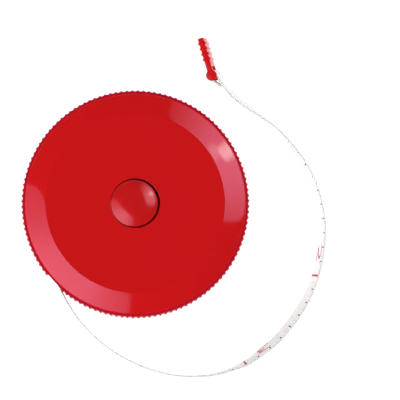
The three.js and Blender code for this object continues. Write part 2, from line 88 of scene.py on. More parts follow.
TONGUE_PLAY = 0.2

# Post of the rear half, which has a slit for the return spring and a pin for the reel
POST_RADIUS = 3.0
POST_TOP = 8.0
PIN_RADIUS = 2.0
PIN_TOP = 10.65
SLIT_REACH = 4.0
SLIT_HALF = 0.51
SLIT_LOW = 3.21
SLIT_HIGH = 8.02

# Pegs of the front half and their sockets
PEG_ANGLES = (-70, 0, 70)
PEG_ORBIT = 20.81
PEG_SIDES = 24
PEG_RADIUS = 0.895
PEG_LOW = 3.9
PEG_HIGH = 12.0
BOSS_RADIUS = 1.789
BOSS_LOW = 1.0
BOSS_HIGH = 6.3
SOCKET_RADIUS = 1.095
SOCKET_LOW = 3.5
SOCKET_HIGH = 6.6

# Slot of the tape and the rim cut back beside it
NOTCH_RADIUS = 24.54
FLANK_AHEAD = 0.6
SLOT_HALF = 0.78
SLOT_LOW = 2.8
SLOT_HIGH = 10.2
SLOT_INWARD = 1.0
SLOT_OUTWARD = 2.0
SLOT_STEPS = 24

# Button
CAP_RADIUS = 5.08
CAP_FOOT = 11.0
BUTTON_APEX = 14.45
BUTTON_LEAN = Vector((-0.21, -0.06, 0))
BUTTON_COLUMNS = 144
DOME_STEPS = 20
DOME_FULLNESS = 0.66
DOME_LIFT = 1.01
COLLAR_RADIUS = 8.2
COLLAR_LOW = 10.3
COLLAR_HIGH = 10.9
SEAT_RADIUS = 4.3
SEAT_TOP = 12.25
BORE_RADIUS = 3.0
BORE_TOP = 13.3
KEY_SPACING = 120
KEY_HALF = 7
KEY_RADIUS = 6.8

# Return spring
SPRING_LOW = 3.5
SPRING_HIGH = 7.8
SPRING_THICKNESS = 0.22
SPRING_INNER = 3.4
SPRING_OUTER = 9.6
SPRING_TURNS = 8
SPRING_START = 9.0
SPRING_PART = 0.8
SPRING_STEP = 6
HOOK_AHEAD = 4

# Button spring
WIRE_RADIUS = 0.2
WIRE_COILS = 3.5
WIRE_STEPS = 126
WIRE_SIDES = 10
COIL_RING = 3.65
COIL_LOW = 9.3
COIL_HIGH = 11.95

# Tape
TAPE_WIDTH = 7.0
TAPE_THICKNESS = 0.36
TAPE_LENGTH = 1500.0
WIND_PITCH = 0.42
WIND_STEPS = 72
COIL_RADIUS = 17.7215
WOUND_BORE = 11.4
LEAD_RADIUS = 18.2015
EXIT_RADIUS = 32.2
EXIT_ANGLE = -22.6
SLIDE_ANGLE = 35.0
ARC_STEPS = 22
LEAD_STEPS = 80
CURVE_STEPS = 6

# Free stretch of the tape from the end of its exit arc: x, y, height of its lower edge and lean
ROUTE = [
    (4.5, -2.2, 2.9, 0), (8.5, -3.5, 2.5, 0), (12.5, -4.3, 2.0, 0),
    (16.6, -4.4, 1.5, -1), (20.6, -4.0, 0.9, -2), (24.4, -2.9, 0.5, -4),
    (27.9, -1.3, 0.25, -8), (31.0, 0.9, 0.15, -11), (34.0, 3.4, 0.15, -12),
    (37.4, 7.3, 0.15, -12), (40.3, 11.6, 0.15, -11), (42.5, 16.4, 0.15, -9),
    (43.9, 21.6, 0.15, -8), (44.6, 26.8, 0.15, -6), (44.5, 30.7, 0.15, -5),
    (43.8, 34.5, 0.2, -3.5), (42.8, 38.2, 0.3, -2), (41.0, 41.8, 0.45, -2),
    (38.7, 45.3, 0.6, -1), (34.8, 50.0, 0.9, 4), (31.3, 52.8, 1.2, 9),
    (28.1, 55.1, 1.4, 12), (25.3, 57.2, 1.5, 13),
]
EYE = (20.3, 62.0, 5.25)
EYE_LEAN = 8.0
LOOP_HEADING = 132.0
LOOP_TAIL = 2.9
LOOP_RADIUS = 0.98
LOOP_SIDE = 0.22
LOOP_STRAIGHT = 6
LOOP_TURN = 36

# Print on the tape, in millimetres from its zero end
INCH = 25.4
EIGHTH = INCH / 8
SCALE_LEAD = 4.85
SCALE_START = 5.5
METRIC_START = 12.0
RED_START = 1.5 * INCH
RED_HALF = 0.24
INK_DEPTH = 0.02
STROKE_TRIM = 0.1
CAP_SHARE = 0.7
CUT_STEP = 0.35
CUT_COUNT = 8

# Lines of each scale: spacing, half thickness and distance from the middle where they begin
INCH_LINES = ((EIGHTH, 0.13, 1.7), (INCH / 2, 0.13, 0.9))
METRIC_LINES = ((1.0, 0.045, 2.9), (5.0, 0.07, 2.2), (10.0, 0.09, 1.5))

# Numbers of each scale: text, distance, cap height, foot above the middle and widening
FIRST_LABELS = [("1", INCH - 5.0, 2.6, -1.3, 1.0)]
INCH_LABELS = [(str(n), INCH * n - 5.2, 4.6, -3.1, 1.5) for n in range(2, 6)]
METRIC_LABELS = [(str(n), 10.0 * n - 3.0, 2.8, -1.4, 1.0) for n in range(2, 15)]

# Pull tab
TAB_LENGTH = 8.5
TAB_THICKNESS = 1.25
TAB_TOP = 4.9
TAB_TURN = -25.5
TAB_CORNER = 0.2
CORNER_STEPS = 4
TAB_SOFTENING = 0.09
EYE_RADIUS = 1.2
EYE_STEPS = 28
BAR_RADIUS = 0.6
BAR_SIDES = 32
WINDOW_TOP = 3.9
WINDOW_REACH = 1.96
WINDOW_SIDE = 3.0
RIB_COUNT = 4
RIB_PITCH = 1.2
RIB_FOOT = 0.36
RIB_HEIGHT = 0.28
RIB_START = 3.7
RIB_STEPS = 4
RIB_FULLNESS = 0.6

# Exit circle of the tape
EXIT_OFFSET = EXIT_RADIUS - LEAD_RADIUS
EXIT_X = EXIT_OFFSET * math.cos(math.radians(EXIT_ANGLE))
EXIT_Y = EXIT_OFFSET * math.sin(math.radians(EXIT_ANGLE))
TOUCH = math.radians(EXIT_ANGLE + 180)


def exit_sweep(radius):
    """Angle along the exit circle from the coil to a radius of the case."""
    total = EXIT_OFFSET ** 2 + EXIT_RADIUS ** 2 - radius ** 2
    return math.acos(total / (2 * EXIT_OFFSET * EXIT_RADIUS))


def exit_point(sweep):
    angle = TOUCH + sweep
    x = EXIT_X + EXIT_RADIUS * math.cos(angle)
    y = EXIT_Y + EXIT_RADIUS * math.sin(angle)
    return Vector((x, y, PARTING))


def turn_of(point):
    return math.atan2(point.y, point.x) % (2 * math.pi)


# Camera: nearly straight down, far away
VIEW_TARGET = Vector((14.2, 1.07, 6.5)) * MM
VIEW_TILT = Vector((-0.0175, -0.0593, 1.0)).normalized()
VIEW_DISTANCE = 0.7
VIEW_WIDTH = 0.08805
SENSOR_WIDTH = 36.0


def linked(name, data):
    obj = bpy.data.objects.new(name, data)
    bpy.context.scene.collection.objects.link(obj)
    return obj


def turned(*axes):
    """Matrix whose x, y and z axes are the three given directions."""
    return Matrix(axes).transposed().to_4x4()


camera_data = bpy.data.cameras.new("camera")
camera_data.sensor_width = SENSOR_WIDTH
camera_data.lens = SENSOR_WIDTH * VIEW_DISTANCE / VIEW_WIDTH
camera_data.clip_start = 0.01
camera_data.clip_end = 20.0
camera = linked("camera", camera_data)
view_right = Vector((0, 1, 0)).cross(VIEW_TILT).normalized()
view_up = VIEW_TILT.cross(view_right)
view_place = Matrix.Translation(VIEW_TARGET + VIEW_TILT * VIEW_DISTANCE)
camera.matrix_world = view_place @ turned(view_right, view_up, VIEW_TILT)
bpy.context.scene.camera = camera


# Node helpers for materials, lights and surroundings
class Graph:
    """Adds nodes to a tree; an input takes a number, a colour or another node's output."""

    def __init__(self, tree):
        self.tree = tree

    def add(self, kind, settings=None, **inputs):
        node = self.tree.nodes.new(kind)
        for key, value in (settings or {}).items():
            setattr(node, key, value)
        for key, value in inputs.items():
            self.put(node.inputs[key.replace("_", " ")], value)
        return node

    def put(self, socket, value):
        if isinstance(value, bpy.types.NodeSocket):
            self.tree.links.new(value, socket)
        else:
            socket.default_value = value

    def math(self, operation, *values):
        node = self.add("ShaderNodeMath", {"operation": operation})
        for socket, value in zip(node.inputs, values):
            self.put(socket, value)
        return node.outputs[0]


class Finish(Graph):
    """A new material, with its shader's inputs set by name."""

    def __init__(self, name):
        self.material = bpy.data.materials.new(name)
        self.material.use_nodes = True
        super().__init__(self.material.node_tree)
        self.shader = self.tree.nodes["Principled BSDF"]

    def set(self, **values):
        for key, value in values.items():
            self.put(self.shader.inputs[key.replace("_", " ")], value)

    def mix(self, factor, first, second):
        node = self.add("ShaderNodeMix", {"data_type": "RGBA"})
        for index, value in ((0, factor), (6, first), (7, second)):
            self.put(node.inputs[index], value)
        return node.outputs[2]

    def spread(self, value, low, high):
        """A value between zero and one spread over two levels."""
        return self.add("ShaderNodeMapRange", Value=value, To_Min=low, To_Max=high).outputs[0]

    def rise(self, value, start, full):
        """Zero up to a start, rising to one."""
        node = self.add("ShaderNodeMapRange", Value=value, From_Min=start, From_Max=full)
        return node.outputs[0]

    def place(self, stretch=(1, 1, 1)):
        """Coordinates of the piece, stretched along its axes."""
        where = self.add("ShaderNodeTexCoord").outputs["Object"]
        return self.add("ShaderNodeMapping", Vector=where, Scale=stretch).outputs[0]

    def noise(self, scale, detail=3.0, stretch=(1, 1, 1)):
        where = self.place(stretch)
        return self.add("ShaderNodeTexNoise", Vector=where, Scale=scale, Detail=detail).outputs[0]

    def bump(self, height, strength, distance):
        node = self.add("ShaderNodeBump", Height=height, Strength=strength, Distance=distance)
        self.set(Normal=node.outputs[0])


def colour(red, green, blue):
    return (red, green, blue, 1.0)


def brighter(base, factor, lift):
    return colour(*[min(1.0, factor * level + lift) for level in base[:3]])


# Rings of painted shade, a darker red where the rim's band and ridges face away from the light:
# where each begins and is full, by radius and by depth from the parting, and colour
RIM_PAINTED_SHADE = (24.06, 24.2, 2.6, 3.4, colour(0.48, 0.006, 0.02))
RIDGE_PAINTED_SHADE = (24.72, 24.95, 3.4, 3.8, colour(0.17, 0.006, 0.016))

# Sharpness from which an edge is rubbed paler, and how much of the pale colour it takes
RUB_FROM = 0.56
RUB_SHARE = 0.12


def gloss_plastic(name, base, shade, roughness, sheen, shine=0.5, painted_shade=()):
    """Moulded plastic: flow clouding, handling haze, orange peel, rubbed edges and rings of painted
    shade.
    """
    kit = Finish(name)
    tint = kit.mix(kit.noise(scale=90.0, detail=2.0), base, shade)
    edge = kit.add("ShaderNodeNewGeometry").outputs["Pointiness"]
    rubbed = kit.math("MULTIPLY", kit.math("GREATER_THAN", edge, RUB_FROM), RUB_SHARE)
    tint = kit.mix(rubbed, tint, brighter(base, factor=1.2, lift=0.008))
    # Each ring darkens the base colour as painted shade on the rim's band and ridges, away from the
    # parting
    for start, full, near, far, shade_colour in painted_shade:
        axes = kit.add("ShaderNodeSeparateXYZ", Vector=kit.place()).outputs
        squares = [kit.math("MULTIPLY", axes[axis], axes[axis]) for axis in "XY"]
        reach = kit.math("SQRT", kit.math("ADD", *squares))
        depth = kit.math("ABSOLUTE", kit.math("SUBTRACT", axes["Z"], PARTING * MM))
        outer = kit.rise(reach, start * MM, full * MM)
        deep = kit.rise(depth, near * MM, far * MM)
        cover = kit.math("MULTIPLY", outer, deep)
        patchy = kit.spread(kit.noise(scale=300.0), low=0.8, high=1.0)
        tint = kit.mix(kit.math("MULTIPLY", cover, patchy), tint, shade_colour)
    haze = kit.noise(scale=160.0, detail=4.0)
    kit.set(Base_Color=tint)
    kit.set(Roughness=kit.spread(haze, low=roughness - 0.02, high=roughness + 0.03))
    kit.set(IOR=1.5, Specular_IOR_Level=shine, Specular_Tint=sheen)
    kit.bump(kit.noise(scale=2600.0, detail=2.0), strength=0.04, distance=0.00002)
    return kit.material


def matt_plastic(name, base, shade, roughness):
    kit = Finish(name)
    kit.set(Base_Color=kit.mix(kit.noise(scale=140.0), base, shade))
    haze = kit.noise(scale=400.0)
    kit.set(Roughness=kit.spread(haze, low=roughness - 0.06, high=roughness + 0.08))
    kit.bump(kit.noise(scale=3000.0), strength=0.12, distance=0.00003)
    return kit.material


def brushed_steel(name):
    kit = Finish(name)
    grain = kit.noise(scale=500.0, detail=4.0, stretch=(1.0, 1.0, 12.0))
    kit.set(Base_Color=kit.mix(grain, colour(0.42, 0.43, 0.45), colour(0.6, 0.61, 0.62)))
    kit.set(Roughness=kit.spread(grain, low=0.22, high=0.42), Metallic=1.0)
    kit.bump(grain, strength=0.1, distance=0.00002)
    return kit.material


RED_INK = colour(0.5, 0.03, 0.07)
BLACK_INK = colour(0.03, 0.03, 0.032)
GRIME = colour(0.62, 0.60, 0.55)
GRIME_SHARE = 0.06
THREAD_PITCH = 0.42
THREAD_HEIGHT = 0.5
FLECK_HEIGHT = 0.6


def near_line(kit, along, step, half_width):
    """One near each multiple of a step along the tape, zero elsewhere."""
    phase = kit.math("PINGPONG", kit.math("DIVIDE", along, step), 0.5)
    return kit.math("LESS_THAN", phase, half_width / step)


def beyond(kit, value, limit):
    return kit.math("GREATER_THAN", value, limit)


def scale_lines(kit, along, depth, lines, start):
    """One where a line of a scale is printed, zero elsewhere."""
    printed = 0.0
    for step, half_width, inner in lines:
        line = kit.math(
            "MULTIPLY", near_line(kit, along, step, half_width), beyond(kit, depth, inner))
        printed = kit.math("MAXIMUM", printed, line)
    return kit.math("MULTIPLY", printed, beyond(kit, along, start))


def cloth(name, scale, pale, dull):
    """Coated woven cloth, its scale printed by the distance along and across the tape."""
    kit = Finish(name)
    along, across = [
        kit.add("ShaderNodeAttribute", {"attribute_name": key}).outputs["Fac"]
        for key in ("along", "across")]
    warp, weft = [
        kit.math("SINE", kit.math("MULTIPLY", run, 2 * math.pi / THREAD_PITCH))
        for run in (along, across)]
    fleck = kit.noise(scale=900.0, detail=4.0)
    tint = kit.mix(fleck, dull, pale)
    tint = kit.mix(kit.math("MULTIPLY", kit.noise(scale=60.0), GRIME_SHARE), tint, GRIME)
    if scale == "inch":
        tint = kit.mix(scale_lines(kit, along, across, INCH_LINES, SCALE_START), tint, BLACK_INK)
        whole_inch = near_line(kit, along, INCH, RED_HALF)
        tint = kit.mix(
            kit.math("MULTIPLY", whole_inch, beyond(kit, along, RED_START)), tint, RED_INK)
    if scale == "metric":
        depth = kit.math("ABSOLUTE", across)
        tint = kit.mix(scale_lines(kit, along, depth, METRIC_LINES, METRIC_START), tint, BLACK_INK)
    kit.set(Base_Color=tint, Roughness=kit.spread(fleck, low=0.5, high=0.66))
    weave = kit.math("MULTIPLY", kit.math("MULTIPLY", warp, weft), THREAD_HEIGHT)
    yarn = kit.math("ADD", weave, kit.math("MULTIPLY", fleck, FLECK_HEIGHT))
    kit.bump(yarn, strength=0.04, distance=0.00003)
    return kit.material


def ink(name, base):
    kit = Finish(name)
    speckle = kit.noise(scale=1200.0, detail=4.0)
    kit.set(Base_Color=kit.mix(speckle, base, brighter(base, factor=1.3, lift=0.01)))
    kit.set(Roughness=kit.spread(kit.noise(scale=900.0), low=0.5, high=0.65))
    return kit.material


RED = colour(0.597, 0.0085, 0.0098)
RED_SHADE = colour(0.568, 0.0075, 0.0088)
BUTTON_RED = colour(0.5, 0.0095, 0.0102)
TAB_RED = colour(0.625, 0.0075, 0.013)
PINK_SHEEN = colour(1.0, 0.6, 0.92)
WARM_SHEEN = colour(1.0, 0.6, 0.76)
# Inch face: white with a faint cyan tint painted in to offset the red light that the case reflects
# onto it
CLOTH = colour(0.95, 0.985, 0.985)
CLOTH_DULL = colour(0.92, 0.955, 0.955)
# Metric face: painted greyer than the inch face, as painted shade
BACK = colour(0.76, 0.75, 0.755)
BACK_DULL = colour(0.74, 0.73, 0.735)
# Edges: a grey that is partly the cut yarn's own and partly painted shade along the tape's top edge
EDGE = colour(0.77, 0.77, 0.77)
EDGE_DULL = colour(0.74, 0.74, 0.74)
REEL = colour(0.80, 0.79, 0.75)
REEL_SHADE = colour(0.74, 0.73, 0.69)
WASHER = colour(0.76, 0.74, 0.68)
WASHER_SHADE = colour(0.70, 0.68, 0.62)
RUBBER = colour(0.02, 0.02, 0.021)
RUBBER_SHADE = colour(0.035, 0.035, 0.036)

# The case takes a ring of painted shade at the edge of its band, and its ridges take a second,
# darker one
case_red = gloss_plastic(
    "case_red", RED, RED_SHADE, roughness=0.07, sheen=PINK_SHEEN, shine=0.5, painted_shade=[RIM_PAINTED_SHADE])
ridge_red = gloss_plastic(
    "ridge_red", RED, RED_SHADE, roughness=0.42, sheen=PINK_SHEEN, shine=0.2,
    painted_shade=[RIM_PAINTED_SHADE, RIDGE_PAINTED_SHADE])
button_red = gloss_plastic(
    "button_red", BUTTON_RED, RED_SHADE, roughness=0.17, sheen=WARM_SHEEN)
tab_red = gloss_plastic(
    "tab_red", TAB_RED, RED_SHADE, roughness=0.24, sheen=WARM_SHEEN, shine=0.28)
inch_cloth = cloth("inch_cloth", "inch", CLOTH, CLOTH_DULL)
metric_cloth = cloth("metric_cloth", "metric", BACK, BACK_DULL)
edge_cloth = cloth("edge_cloth", "none", EDGE, EDGE_DULL)
red_ink = ink("red_ink", RED_INK)
black_ink = ink("black_ink", BLACK_INK)
reel_white = matt_plastic("reel_white", REEL, REEL_SHADE, roughness=0.45)
washer_white = matt_plastic("washer_white", WASHER, WASHER_SHADE, roughness=0.5)
brake_black = matt_plastic("brake_black", RUBBER, RUBBER_SHADE, roughness=0.85)
spring_steel = brushed_steel("spring_steel")

for node, finish in (
    ("reel", reel_white), ("reel_cover", reel_white),
    ("slip_washer", washer_white), ("brake_ring", brake_black),
):
    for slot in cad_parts[node].material_slots:
        slot.material = finish


# Mesh helpers
def make(name, points, faces, materials, face_slots=None, values=None):
    """Object from points in millimetres, with values as attributes of its points."""
    mesh = bpy.data.meshes.new(name)
    mesh.from_pydata([Vector(p) * MM for p in points], [], faces)
    for key, numbers in (values or {}).items():
        mesh.attributes.new(key, "FLOAT", "POINT").data.foreach_set("value", numbers)
    for material in materials:
        mesh.materials.append(material)
    if face_slots:
        mesh.polygons.foreach_set("material_index", face_slots)
    work = bmesh.new()
    work.from_mesh(mesh)
    bmesh.ops.recalc_face_normals(work, faces=work.faces)
    work.to_mesh(mesh)
    work.free()
    return linked(name, mesh)


def smooth(obj, degrees):
    obj.data.shade_smooth()
    obj.data.set_sharp_from_angle(angle=math.radians(degrees))


def evaluated_mesh(obj):
    bpy.context.view_layer.update()
    graph = bpy.context.evaluated_depsgraph_get()
    return bpy.data.meshes.new_from_object(obj.evaluated_get(graph))


def apply_modifiers(obj):
    mesh = evaluated_mesh(obj)
    obj.modifiers.clear()
    obj.data = mesh


def combine(obj, other, operation):
    modifier = obj.modifiers.new(operation.lower(), "BOOLEAN")
    modifier.object = other
    modifier.operation = operation
    modifier.solver = "EXACT"
    apply_modifiers(obj)
    bpy.data.objects.remove(other)


def bow(start, control, end, t):
    """Point on the curve that leaves start and reaches end, drawn towards a control point."""
    return start * (1 - t) ** 2 + control * 2 * t * (1 - t) + end * t ** 2


def rounded(corners, steps=4):
    """Profile of radius and height, with each corner rounded by its own size."""
    line = []
    count = len(corners)
    for i, (r, z, size) in enumerate(corners):
        here = Vector((r, z))
        if size == 0:
            line.append((r, z))
            continue
        before = Vector(corners[i - 1][:2]) - here
        after = Vector(corners[(i + 1) % count][:2]) - here
        start = here + before.normalized() * size
        end = here + after.normalized() * size
        line.extend(tuple(bow(start, here, end, k / steps)) for k in range(steps + 1))
    return line


def revolve(profile, columns, radius_at, closed):
    """Points and faces of a profile turned about the axis; a point at radius zero is a pole."""
    points = []
    rows = []
    for r, z in profile:
        if r == 0:
            rows.append([len(points)] * columns)
            points.append((0, 0, z))
            continue
        row = []
        for j in range(columns):
            turn = 2 * math.pi * j / columns
            radius = radius_at(r, turn)
            row.append(len(points))
            points.append((radius * math.cos(turn), radius * math.sin(turn), z))
        rows.append(row)
    faces = []
    spans = len(rows) if closed else len(rows) - 1
    for i in range(spans):
        low = rows[i]
        high = rows[(i + 1) % len(rows)]
        for j in range(columns):
            k = (j + 1) % columns
            face = list(dict.fromkeys([low[j], low[k], high[k], high[j]]))
            if len(face) > 2:
                faces.append(face)
    return points, faces


def prism(outline, bottom, top):
    """Points and faces of a flat outline raised between two heights."""
    count = len(outline)
    points = [(x, y, bottom) for x, y in outline] + [(x, y, top) for x, y in outline]
    faces = [list(range(count))[::-1], list(range(count, 2 * count))]
    for i in range(count):
        k = (i + 1) % count
        faces.append([i, k, count + k, count + i])
    return points, faces


def tube_faces(sides, rings):
    """Faces between rings of points that follow each other, without the two ends."""
    faces = []
    for i in range(rings - 1):
        for k in range(sides):
            a = i * sides + k
            b = i * sides + (k + 1) % sides
            faces.append([a, b, b + sides, a + sides])
    return faces


def tube_ends(sides, rings):
    last = sides * (rings - 1)
    return [list(range(sides))[::-1], [last + k for k in range(sides)]]


def joined(*bodies):
    points = []
    faces = []
    for more_points, more_faces in bodies:
        start = len(points)
        points.extend(more_points)
        faces.extend([[start + i for i in face] for face in more_faces])
    return points, faces


def arc(x, y, radius, start, end, steps):
    line = []
    for i in range(steps + 1):
        angle = start + (end - start) * i / steps
        line.append((x + radius * math.cos(angle), y + radius * math.sin(angle)))
    return line


def circle(x, y, radius, steps):
    return arc(x, y, radius, 0, 2 * math.pi, steps)[:-1]


# Case halves with their ridged rim, cut back beside the slot along the line of the tape
FLANK_TURN = math.radians(FLANK_AHEAD)
NOTCH_FROM = turn_of(exit_point(exit_sweep(CAVITY_RADIUS)))
FLANK_FROM = turn_of(exit_point(exit_sweep(NOTCH_RADIUS))) - FLANK_TURN
FLANK_TO = turn_of(exit_point(exit_sweep(CASE_RADIUS))) - FLANK_TURN


def rim_radius(r, turn):
    if r > VALLEY_RADIUS:
        phase = (turn + math.radians(RIDGE_TURN)) * RIDGE_COUNT
        crest = (0.5 + 0.5 * math.cos(phase)) ** RIDGE_SHARPNESS
        r = VALLEY_RADIUS + (r - VALLEY_RADIUS) * crest
    if NOTCH_FROM < turn < FLANK_TO:
        rise = max(0.0, (turn - FLANK_FROM) / (FLANK_TO - FLANK_FROM))
        return min(r, NOTCH_RADIUS + (CASE_RADIUS - NOTCH_RADIUS) * rise)
    return r


def rim_corners():
    """Corners from the edge of a flat face to the parting: radius, depth and rounding."""
    start = Vector((FACE_RADIUS, 0))
    slope = BEVEL_DROP / (SHELL_RADIUS - FACE_RADIUS)
    end = Vector((BEVEL_RADIUS, slope * (BEVEL_RADIUS - FACE_RADIUS)))
    along = (end - start).normalized()
    control = (start + end) / 2 + Vector((along.y, -along.x)) * 2 * BEVEL_SWELL
    bevel = [bow(start, control, end, i / BEVEL_STEPS) for i in range(1, BEVEL_STEPS)]
    band = BEVEL_DROP + BAND_STEP
    return [
        (FACE_RADIUS, 0, 0.14),
        *[(point.x, point.y, 0) for point in bevel],
        (end.x, end.y, 0.06),
        (BEVEL_RADIUS + BAND_LIP, band, 0.06),
        (VALLEY_RADIUS, band + BAND_FALL, 0.1),
        (CASE_RADIUS, band + BAND_RISE, 0.2),
        (CASE_RADIUS, PARTING, 0.09),
    ]


def front_profile():
    """Front half in section, from corners of radius, height and rounding."""
    rebate_radius = TONGUE_RADIUS + TONGUE_PLAY
    rebate_top = TONGUE_TOP + TONGUE_PLAY
    return rounded([
        (HOLE_RADIUS, CEILING, 0.1),
        (INNER_FACE_RADIUS, CEILING, 0.2),
        (CAVITY_RADIUS, WALL_HIGH, 0.3),
        (CAVITY_RADIUS, rebate_top, 0),
        (rebate_radius, rebate_top, 0),
        (rebate_radius, PARTING, 0),
        *[(r, CASE_TOP - depth, size) for r, depth, size in reversed(rim_corners())],
        (FACE_RADIUS - FACE_MARGIN, CASE_TOP, 0),
        (HOLE_RADIUS + FACE_MARGIN, CASE_TOP, 0),
        (HOLE_RADIUS, CASE_TOP, 0.12),
    ])


def rear_profile():
    """Rear half in section, from corners of radius, height and rounding."""
    line = rounded([
        (FACE_RADIUS - FACE_MARGIN, 0, 0),
        *rim_corners(),
        (TONGUE_RADIUS, PARTING, 0),
        (TONGUE_RADIUS, TONGUE_TOP, 0.1),
        (CAVITY_RADIUS, TONGUE_TOP, 0.1),
        (CAVITY_RADIUS, WALL_LOW, 0.3),
        (INNER_FACE_RADIUS, FLOOR_TOP, 0.2),
        (POST_RADIUS, FLOOR_TOP, 0.1),
        (POST_RADIUS, POST_TOP, 0.1),
        (PIN_RADIUS, POST_TOP, 0.05),
        (PIN_RADIUS, PIN_TOP, 0.15),
        (PIN_RADIUS / 2, PIN_TOP, 0),
    ])
    return [(0, 0), *line, (0, PIN_TOP)]


def slot_cutter():
    """Slot of the tape, with the slit of the post."""
    start = TOUCH + exit_sweep(CAVITY_RADIUS - SLOT_INWARD)
    end = TOUCH + exit_sweep(CASE_RADIUS + SLOT_OUTWARD)
    outline = arc(EXIT_X, EXIT_Y, EXIT_RADIUS + SLOT_HALF, start, end, SLOT_STEPS)
    outline += arc(EXIT_X, EXIT_Y, EXIT_RADIUS - SLOT_HALF, end, start, SLOT_STEPS)
    slot = prism(outline, SLOT_LOW, SLOT_HIGH)
    slit = prism(
        [(0, -SLIT_HALF), (SLIT_REACH, -SLIT_HALF), (SLIT_REACH, SLIT_HALF), (0, SLIT_HALF)],
        SLIT_LOW, SLIT_HIGH)
    return make("cutter", *joined(slot, slit), [case_red])


def pillars(radius, bottom, top):
    """Round pillars where the two halves peg together."""
    bodies = []
    for degrees in PEG_ANGLES:
        x = PEG_ORBIT * math.cos(math.radians(degrees))
        y = PEG_ORBIT * math.sin(math.radians(degrees))
        bodies.append(prism(circle(x, y, radius, PEG_SIDES), bottom, top))
    return make("pillars", *joined(*bodies), [case_red])


def bosses():
    body = pillars(BOSS_RADIUS, BOSS_LOW, BOSS_HIGH)
    combine(body, pillars(SOCKET_RADIUS, SOCKET_LOW, SOCKET_HIGH), "DIFFERENCE")
    return body


pegs = pillars(PEG_RADIUS, PEG_LOW, PEG_HIGH)
for name, node, profile, closed, pegging in (
    ("front_case", "front_shell", front_profile(), True, pegs),
    ("rear_case", "rear_shell", rear_profile(), False, bosses()),
):
    points, faces = revolve(profile, RIDGE_COUNT * RIDGE_COLUMNS, rim_radius, closed)
    shell = make(name, points, faces, [case_red, ridge_red])
    combine(shell, pegging, "UNION")
    combine(shell, slot_cutter(), "DIFFERENCE")
    for face in shell.data.polygons:
        face.material_index = int(face.center.xy.length > RIDGE_FINISH * MM)
    smooth(shell, degrees=32)
    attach(shell, "case")
    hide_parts(node)


# Button with its notched collar, its cap standing a little to one side in the hole
def collar_radius(r, turn):
    half = KEY_SPACING / 2
    offset = abs((math.degrees(turn) + half) % KEY_SPACING - half)
    return min(r, KEY_RADIUS) if offset < KEY_HALF else r


def button_profile():
    """Button in section, from corners of radius, height and rounding."""
    rim = Vector((CAP_RADIUS, CASE_TOP))
    crown = Vector((0, BUTTON_APEX))
    control = Vector((
        CAP_RADIUS * DOME_FULLNESS, CASE_TOP + (BUTTON_APEX - CASE_TOP) * DOME_LIFT))
    dome = [bow(rim, control, crown, i / DOME_STEPS) for i in range(1, DOME_STEPS)]
    line = rounded([
        (BORE_RADIUS, BORE_TOP, 0),
        (BORE_RADIUS, SEAT_TOP, 0),
        (SEAT_RADIUS, SEAT_TOP, 0),
        (SEAT_RADIUS, COLLAR_LOW, 0),
        (COLLAR_RADIUS, COLLAR_LOW, 0.08),
        (COLLAR_RADIUS, COLLAR_HIGH, 0.08),
        (CAP_RADIUS, COLLAR_HIGH, 0),
        (CAP_RADIUS, CASE_TOP, 0),
        *[(point.x, point.y, 0) for point in dome],
    ])
    return [(0, BORE_TOP), *line, (0, BUTTON_APEX)]


points, faces = revolve(button_profile(), BUTTON_COLUMNS, collar_radius, False)
points = [Vector(p) + (BUTTON_LEAN if p[2] > CAP_FOOT else Vector()) for p in points]
button = make("button_cap", points, faces, [button_red])
smooth(button, degrees=35)
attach(button, "button")
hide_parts("button")


# Route of the tape: its centre line with the direction of its width
def lean_up(along, degrees):
    left = Vector((-along.y, along.x, 0)).normalized()
    lean = math.radians(degrees)
    return Vector((0, 0, math.cos(lean))) + left * math.sin(lean)


ARC_SWEEP = exit_sweep(CASE_RADIUS) + math.radians(SLIDE_ANGLE)
ARC_END = exit_point(ARC_SWEEP)
EYE_POINT = Vector((ARC_END.x + EYE[0], ARC_END.y + EYE[1], EYE[2]))
EYE_TURN = math.radians(LOOP_HEADING)
EYE_ALONG = Vector((math.cos(EYE_TURN), math.sin(EYE_TURN), 0))
EYE_UP = lean_up(EYE_ALONG, EYE_LEAN)
EYE_ACROSS = EYE_UP.cross(EYE_ALONG)


def at_eye(point):
    return EYE_POINT + EYE_ALONG * point.x + EYE_ACROSS * point.y


def loop_line():
    """Loop at the end of the tape: out along one side, round the bar and back along the other."""
    reach = math.hypot(LOOP_TAIL, LOOP_SIDE)
    touch = math.pi - math.atan2(LOOP_SIDE, LOOP_TAIL) - math.acos(LOOP_RADIUS / reach)
    first = Vector((LOOP_RADIUS * math.cos(touch), LOOP_RADIUS * math.sin(touch)))
    start = Vector((-LOOP_TAIL, -LOOP_SIDE))
    end = Vector((-LOOP_TAIL, LOOP_SIDE))
    line = []
    for i in range(1, LOOP_STRAIGHT + 1):
        line.append(start.lerp(Vector((first.x, -first.y)), i / (LOOP_STRAIGHT + 1)))
    line += [Vector(point) for point in arc(0, 0, LOOP_RADIUS, -touch, touch, LOOP_TURN)]
    for i in range(1, LOOP_STRAIGHT + 1):
        line.append(first.lerp(end, i / LOOP_STRAIGHT))
    return line


def curve_point(knots, i, t):
    """Centripetal curve through knots, between knot i and the next."""
    p1 = knots[i]
    p2 = knots[i + 1]
    p0 = knots[i - 1] if i > 0 else p1 * 2 - p2
    p3 = knots[i + 2] if i + 2 < len(knots) else p2 * 2 - p1
    d0 = math.sqrt((p1 - p0).length)
    d1 = math.sqrt((p2 - p1).length)
    d2 = math.sqrt((p3 - p2).length)
    m1 = ((p1 - p0) / d0 - (p2 - p0) / (d0 + d1) + (p2 - p1) / d1) * d1
    m2 = ((p2 - p1) / d1 - (p3 - p1) / (d1 + d2) + (p3 - p2) / d2) * d1
    bend2 = p1 * -3 + p2 * 3 - m1 * 2 - m2
    bend3 = p1 * 2 - p2 * 2 + m1 + m2
    return p1 + m1 * t + bend2 * t ** 2 + bend3 * t ** 3


def direction_at(centres, i):
    return centres[min(i + 1, len(centres) - 1)] - centres[max(i - 1, 0)]


